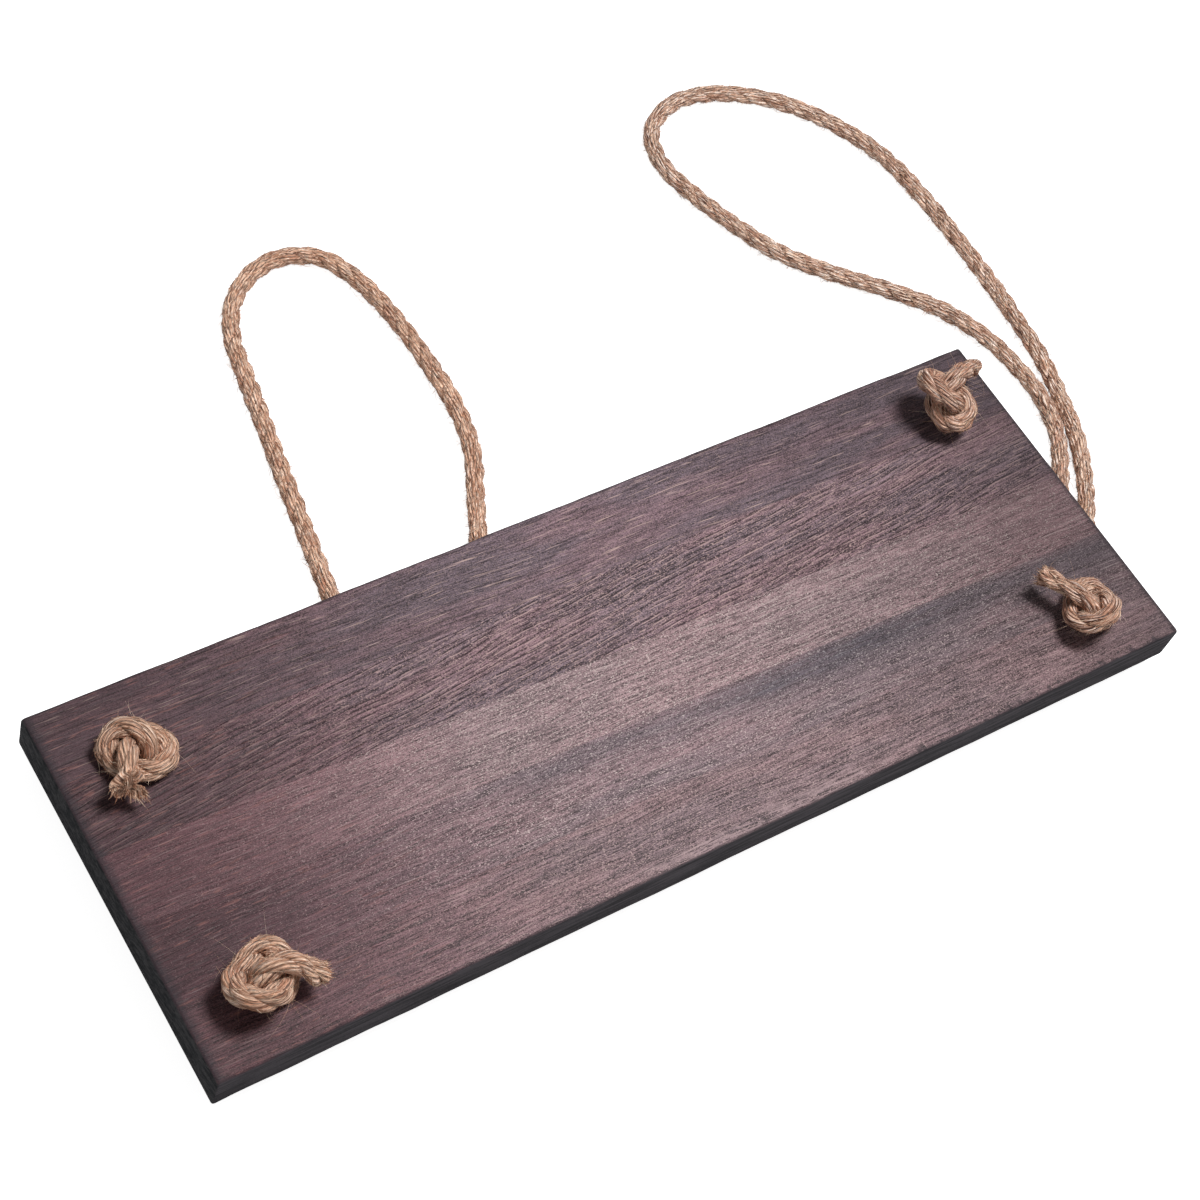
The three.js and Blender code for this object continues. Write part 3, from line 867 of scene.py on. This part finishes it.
def tightened(loose, tail, sag):
    """Draws a knot tight, in rope diameters, in rounds.

    Each round moves every point towards the middle of its neighbours, which shortens the rope between
    its held ends, lets it sag, and pushes apart places that are nearer than a rope's width, or than
    the chord of the tightest bend for the length of rope between them. The rope stays over the board.
    """
    points = even_points(spline_line(loose, 200), knot_step)
    for turn in range(hard_rounds + soft_rounds):
        before = points
        pull = hard_pull if turn < hard_rounds else soft_pull
        points = before.copy()
        points[1:-1] += pull * (0.5 * (before[:-2] + before[2:]) - before[1:-1])
        points[1:-1, 2] -= sag
        order = np.arange(len(points))
        apart = np.abs(np.subtract.outer(order, order))
        half_turn = np.minimum(apart * knot_step / (2 * knot_bend), math.pi / 2)
        chord = 2 * knot_bend * np.sin(half_turn)
        least = np.where(apart > 1, np.minimum(1 + knot_gap, chord), 0)
        for _ in range(3):
            between = points[:, None, :] - points[None, :, :]
            distance = np.linalg.norm(between, axis=2)
            lack = np.clip(least - distance, 0, None)
            push = (between * (lack / np.maximum(distance, 1e-9))[..., None]).sum(1)
            pushes = np.maximum((lack > 0).sum(1), 1)
            points += push_share * push / np.sqrt(pushes)[:, None]
            beside = np.hypot(points[:, 0], points[:, 1]) > hole_reach
            points[beside, 2] = np.maximum(points[beside, 2], knot_lift)
            points[(before[:, 2] < axis_height) & (order < axis_places), :2] = 0
            points[0] = loose[0]
            points[-1] = tail
        points = even_points(points, knot_step)
    return points


def knot_line(hole):
    """The line of a rope's end, from inside its hole through its knot to the end of its tail."""
    knot = knots[hole]
    cos, sin = math.cos(math.radians(knot["turn"])), math.sin(math.radians(knot["turn"]))
    x, y, z = loose_knot.T
    x = x * knot["hand"]
    loose = np.stack([x * cos - y * sin, x * sin + y * cos, z], 1)
    tight = tightened(loose, knot["tail"], knot["sag"])
    tied = even_points(tight[tight[:, 2] > knot_mouth], tied_step) * 2 * rope_radius * knot["drawn"]
    place = rope_holes[hole]
    heights = (run_top + seat_gap, board_high - rope_radius, board_high)
    stand = [[*place, height] for height in heights]
    line = np.vstack([stand, tied + np.array([*place, board_high])])
    return even_points(centripetal_line(line), rope_step)


def knot_swell(knot, line, seed):
    """How thick the rope is along a knot: swollen and uneven over the board, its own way in the tail."""
    steps = np.arange(len(line)) * rope_step
    from_tail = steps if line[0, 2] > line[-1, 2] else steps[::-1]
    over_board = smooth_steps(0.001, 0.005, line[:, 2] - board_high)
    tail = smooth_steps(tail_faded, tail_length, from_tail)
    swollen = knot["swollen"] * (1 - tail) + knot["tail_swollen"] * tail
    uneven = knot_unevenness * wander(seed * 40 + 35, steps, 0.006)
    return 1 + over_board * (uneven + swollen)


def whole_rope(side, seed):
    """One rope from tail to tail, and the first and last ring of each of its pieces.

    What lies over the board is kept out of it.
    """
    route = routes[side]
    back, front = "back_" + side, "front_" + side
    lines = {
        back + "_knot": knot_line(back)[::-1],
        back + "_rope_run": run_line(back, route["back_run"]),
        side + "_rope_loop": loop_line(route["loop"]),
        front + "_rope_run": run_line(front, route["front_run"][::-1])[::-1],
        front + "_knot": knot_line(front),
    }
    ends = np.cumsum([len(line) for line in lines.values()])
    line = np.vstack(list(lines.values()))
    radius = np.full(len(line), rope_radius)
    pieces = {}
    for name, last in zip(lines, ends):
        first = last - len(lines[name])
        pieces[name] = (first, last - 1)
        if name.endswith("knot"):
            knot = knots[name.removesuffix("_knot")]
            radius[first:last] *= knot["drawn"] * knot_swell(knot, line[first:last], seed)
    from_end = np.arange(len(line)) * rope_step
    opened = smooth_steps(opened_length, 0, from_end) * knots[back]["opened"]
    opened = opened + smooth_steps(opened_length, 0, from_end[::-1]) * knots[front]["opened"]
    first, last = pieces[side + "_rope_loop"]
    from_seam = np.minimum(from_end[:last - first], from_end[:last - first][::-1])
    opened[first:last] = -drawn_together[side] * smooth_steps(0, drawn_in_length, from_seam)
    rope = rope_rings(line, radius * (1 + 0.5 * opened), seed, opened)
    above = line[:, 2] > board_high + rope_radius / 4
    rope["rings"][above, :, 2] = np.maximum(rope["rings"][above, :, 2], board_high + clear_of_board)
    return {**rope, "line": line, "pieces": pieces}


# The fibres
# They lie on the ropes and stand off them wherever the ropes aren't pressed, and stand out of the cut
# ends. First come the places along a fibre, how much of its thickness has gone at its tip, how many
# there are on a metre of rope and in a cut end, and how far over the floor one has to start.
fibre_shares = np.linspace(0, 1, 5)
fibre_taper = 0.8
per_metre = {"lying": 4000, "short": 6500, "long": 450}
per_cut = 320
clear_of_floor = 0.0006


def unit(vectors):
    """Each row of the array at length 1."""
    return vectors / np.linalg.norm(vectors, axis=1)[:, None]


def fibre_mesh(name, line, thickness, tone, floor, seed):
    """Many fibres at once, each a thin three-sided thread along its line, closed at both ends.

    The lines are kept above the floor, and the thickness falls off from the root to the tip.
    """
    count, steps = line.shape[:2]
    rng = np.random.default_rng(seed)
    line[..., 2] = np.maximum(line[..., 2], floor + 0.0001)
    ahead = line[:, -1] - line[:, 0]
    aside = unit(np.cross(ahead, rng.normal(size=(count, 3))))
    upward = unit(np.cross(ahead, aside))
    angle = (np.arange(3) * 2 * math.pi / 3)[:, None]
    out = aside[:, None, :] * np.cos(angle) + upward[:, None, :] * np.sin(angle)
    width = thickness[:, None] * (1 - fibre_taper * fibre_shares**2)
    points = line[:, :, None, :] + out[:, None, :, :] * width[:, :, None, None]
    first = (np.arange(count) * steps * 3)[:, None, None]
    ring, corner = np.meshgrid(np.arange(steps - 1), np.arange(3), indexing="ij")
    here, beside = ring * 3 + corner, ring * 3 + (corner + 1) % 3
    quads = np.stack([here, beside, beside + 3, here + 3], -1).reshape(1, -1, 4) + first
    tip = steps * 3 - 3
    caps = np.array([[2, 1, 0], [tip, tip + 1, tip + 2]])[None] + first
    faces = [quads.reshape(-1, 4), caps.reshape(-1, 3)]
    return face_mesh(name, points, faces, {"shade_of_fibre": np.repeat(tone, steps * 3)})


def fibre_material():
    """Single jute fibres: from dark brown over straw to nearly white."""
    material, shade = new_material("jute_fibres")
    own = shade.node("ShaderNodeAttribute", {"attribute_name": "shade_of_fibre"}, {}, 2)
    stops = [
        (0.0, paint(116, 74, 52)), (0.3, paint(184, 134, 110)),
        (0.7, paint(234, 194, 165)), (1.0, paint(252, 228, 202)),
    ]
    colour = shade.node("ShaderNodeValToRGB", {"stops": stops}, {0: own})
    shade.surface({"Base Color": colour, "Roughness": 0.6, "Specular IOR Level": 0.15})
    return material


loose_fibres = fibre_material()


def lying_lines(rope, first, last, count, thick, rng):
    """Fibres that lie on a rope: each keeps its side of the rope while the strands turn under it.

    Each goes from its start along the rings, and back round the columns by the lay, so that it runs
    along the rope. thick makes them shorter and lean more. They arch a little and lift at their tips.
    """
    way = rng.uniform(0.002, 0.007, count)[:, None] * rng.choice([-1.0, 1.0], count)[:, None]
    start = rng.uniform(first, last, count)[:, None]
    ring = np.clip(start + way / thick * fibre_shares / rope_step, first, last - 0.001)
    lean = 1 + rng.normal(0, 0.4 * thick**2, count)[:, None]
    turned = (ring - start) * rope_step / lay_length * sides * lean
    column = rng.uniform(0, sides, count)[:, None] - turned
    low_ring, low_column = np.floor(ring).astype(int), np.floor(column).astype(int)
    ring_share, column_share = (ring - low_ring)[..., None], (column - low_column)[..., None]
    here, beside = low_column % sides, (low_column + 1) % sides
    rings = rope["rings"]
    low = rings[low_ring, here] * (1 - column_share) + rings[low_ring, beside] * column_share
    high = rings[low_ring + 1, here] * (1 - column_share) + rings[low_ring + 1, beside] * column_share
    arch = rng.uniform(0, 0.00018, count)[:, None] * np.sin(math.pi * fibre_shares)
    tip = rng.gamma(1.0, 0.0003, count)[:, None] * fibre_shares**3
    off = (arch + tip + 0.00002)[..., None] * rope["out"][low_ring, here]
    return low * (1 - ring_share) + high * ring_share + off


def bent_lines(root, ahead, bend, length):
    """Fibres from their roots on: length * share along ahead and length * share squared along bend."""
    straight = (length[:, None] * fibre_shares)[..., None] * ahead[:, None]
    return root[:, None] + straight + (length[:, None] * fibre_shares**2)[..., None] * bend[:, None]


def standing_lines(rope, first, last, count, length, curl, rng):
    """Fibres that stand off a rope, more or less along it, and bend back towards it."""
    ring = rng.integers(first, last, count)
    column = rng.integers(0, sides, count)
    out = rope["out"][ring, column]
    tangent = unit(rope["line"][ring + 1] - rope["line"][ring])
    tangent = tangent * rng.choice([-1.0, 1.0], count)[:, None]
    ahead = tangent + out * rng.uniform(0.3, 1.6, count)[:, None] + rng.normal(0, 0.3, (count, 3))
    bend = rng.normal(0, 1, (count, 3)) * curl - out * rng.uniform(0, curl, count)[:, None]
    return bent_lines(rope["rings"][ring, column], unit(ahead), bend, length)


def fuzz(name, rope, first, last, floor, thick, seed):
    """A stretch of rope's own fibres: many lie on it, more short ones stand off it, a few curl away.

    thick is how thick the short ones are. On the table, those under the board are left out.
    """
    rng = np.random.default_rng(seed)
    stretch = rope["along"][last] - rope["along"][first]
    lying, short, long = [int(stretch * number) for number in per_metre.values()]
    line = np.concatenate([
        lying_lines(rope, first, last, lying, thick, rng),
        standing_lines(rope, first, last, short, rng.gamma(3.0, 0.00042, short), 0.5, rng),
        standing_lines(rope, first, last, long, rng.uniform(0.003, 0.009, long), 0.8, rng),
    ])
    thickness = np.concatenate([
        rng.uniform(0.00006, 0.00015, lying), rng.uniform(0.00004, 0.00008, short) * thick,
        rng.uniform(0.00003, 0.00005, long),
    ])
    short_tone = rng.uniform(0.0, 1.4 - 0.4 * thick, short)
    tone = np.concatenate([rng.beta(0.9, 0.8, lying), short_tone, rng.uniform(0.6, 1, long)])
    clear = line[:, 0, 2] > floor + clear_of_floor
    if floor == 0.0:
        past_end = np.abs(line[..., 0]) > board_half_length
        clear &= (past_end | (np.abs(line[..., 1]) > board_half_width)).all(1)
    mesh = fibre_mesh(name, line[clear], thickness[clear], tone[clear], floor, seed + 1)
    return shown(name, mesh, loose_fibres)


def cut_end(name, rope, tail, splay, seed):
    """The fibres of a cut end, which stand out of it like a worn brush, the wider the more it opened."""
    rng = np.random.default_rng(seed)
    step = 1 if tail == len(rope["line"]) - 1 else -1
    axis = rope["line"][tail] - rope["line"][tail - 3 * step]
    axis /= np.linalg.norm(axis)
    column = rng.integers(0, sides, per_cut)
    share = np.sqrt(rng.uniform(0.02, 0.95, per_cut))[:, None]
    root = rope["line"][tail] * (1 - share) + rope["rings"][tail, column] * share - axis * 0.001
    out = rope["out"][tail, column]
    spread = out * share * rng.uniform(0, 1.8 * splay, per_cut)[:, None]
    ahead = unit(axis + spread + rng.normal(0, 0.12, (per_cut, 3)))
    bend = out * rng.uniform(-0.1, 0.3, per_cut)[:, None] + rng.normal(0, 0.15, (per_cut, 3))
    length = rng.uniform(0.0009, 0.0018, per_cut) + rng.gamma(1.0, 0.0003 + 0.0009 * splay, per_cut)
    line = bent_lines(root, ahead, bend, length)
    tone = rng.uniform(0, 1, per_cut)
    thickness = rng.uniform(0.00008, 0.00018, per_cut)
    return shown(name, fibre_mesh(name, line, thickness, tone, board_high, seed + 1), loose_fibres)


for k, side in enumerate(routes):
    rope = whole_rope(side, 1 + k)
    seed = 100 * (k + 1)
    for piece_name, (first, last) in rope["pieces"].items():
        is_knot = piece_name.endswith("knot")
        material = knot_jute[side] if is_knot else loop_jute_painted_lit[side]
        piece = rope_piece(piece_name + "_strands", rope, first, last, material)
        body = piece_name.replace("knot", "rope_end") if is_knot else "board"
        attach(piece, body)
        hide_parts(piece_name)
        extras = []
        if is_knot:
            tail = first if first == 0 else last
            splay = knots[piece_name.removesuffix("_knot")]["opened"]
            extras.append(cut_end(piece_name + "_cut_end", rope, tail, splay, seed + first))
            extras.append(fuzz(piece_name + "_fuzz", rope, first, last, board_high, 1.0, seed + last))
        if piece_name.endswith("loop"):
            extras.append(fuzz(piece_name + "_fuzz", rope, first, last, 0.0, 1.6, seed + last))
            line = rope["line"][first:last + 1]
            line[::4].tolist() + [line[-1].tolist()]
        for extra in extras:
            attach(extra, body)


# The light and the view
# The shelf lies on a plain white table under one soft lamp, overhead and a little to the right, in an
# evenly lit room. The camera looks down at it from the front left through a long lens.
white = (1, 1, 1, 1)
table_grey = (0.8, 0.8, 0.8, 1)
table_glow = 0.9
table_half = 3.0
table_height = -0.0002


def room_light(strength, seen_strength):
    """The room: lights the scene at strength, and is seen at seen_strength."""
    world = bpy.data.worlds.new("room")
    world.use_nodes = True
    world.node_tree.nodes.clear()
    shade = Shade(world.node_tree)
    seen = shade.node("ShaderNodeLightPath", {}, {}, 0)
    level = strength + seen * (seen_strength - strength)
    background = shade.node("ShaderNodeBackground", {}, {"Color": white, "Strength": level})
    shade.node("ShaderNodeOutputWorld", {}, {"Surface": background})
    return world


bpy.context.scene.world = room_light(0.2, 1.0)

# The table is matt, and seen by the camera it glows as well, so that it is white but for shadows
table_material, shade = new_material("white_table")
matt = shade.node("ShaderNodeBsdfDiffuse", {}, {"Color": table_grey})
glow = shade.node("ShaderNodeEmission", {}, {"Color": white, "Strength": table_glow})
lit = shade.node("ShaderNodeAddShader", {}, {0: matt, 1: glow})
seen = shade.node("ShaderNodeLightPath", {}, {}, 0)
table_surface = shade.node("ShaderNodeMixShader", {}, {0: seen, 1: matt, 2: lit})
shade.node("ShaderNodeOutputMaterial", {}, {"Surface": table_surface})

table_corners = np.array([[-1, -1, 0], [1, -1, 0], [1, 1, 0], [-1, 1, 0]]) * table_half
table_mesh = face_mesh("table", table_corners + [0, 0, table_height], [np.arange(4)[None]], {})
table_mesh.materials.append(table_material)
table = bpy.data.objects.new("table", table_mesh)
bpy.context.scene.collection.objects.link(table)


def placed(name, data, x_axis, y_axis, place):
    """A lamp or a camera at its place, which looks back along the cross product of its two axes."""
    holder = bpy.data.objects.new(name, data)
    turn = Matrix(np.column_stack([x_axis, y_axis, np.cross(x_axis, y_axis)]).tolist())
    holder.matrix_world = Matrix.Translation(place) @ turn.to_4x4()
    bpy.context.scene.collection.objects.link(holder)
    return holder


# The square lamp
lamp = bpy.data.lights.new("window", "AREA")
lamp.size = 0.45
lamp.energy = 21
lamp_distance = 1.6
towards_lamp = np.array([0.25, -0.04, 1.0])
towards_lamp /= np.linalg.norm(towards_lamp)
lamp_side = np.cross([0, 0, 1], towards_lamp)
lamp_side /= np.linalg.norm(lamp_side)
placed("window", lamp, lamp_side, np.cross(towards_lamp, lamp_side), towards_lamp * lamp_distance)

# The camera's place and axes, and its lens, as worked out from the corners of the board
camera_place = (-0.44448, -0.32183, 0.85338)
view_right = np.array([0.852960, -0.492179, 0.173835])
view_up = np.array([0.330777, 0.767292, 0.549408])
lens = bpy.data.cameras.new("camera")
lens.sensor_width = 36
lens.lens = 78.706
lens.shift_x = 0.14328
lens.shift_y = -0.07322
bpy.context.scene.camera = placed("camera", lens, view_right, view_up, camera_place)
bpy.context.scene.view_settings.view_transform = "Standard"
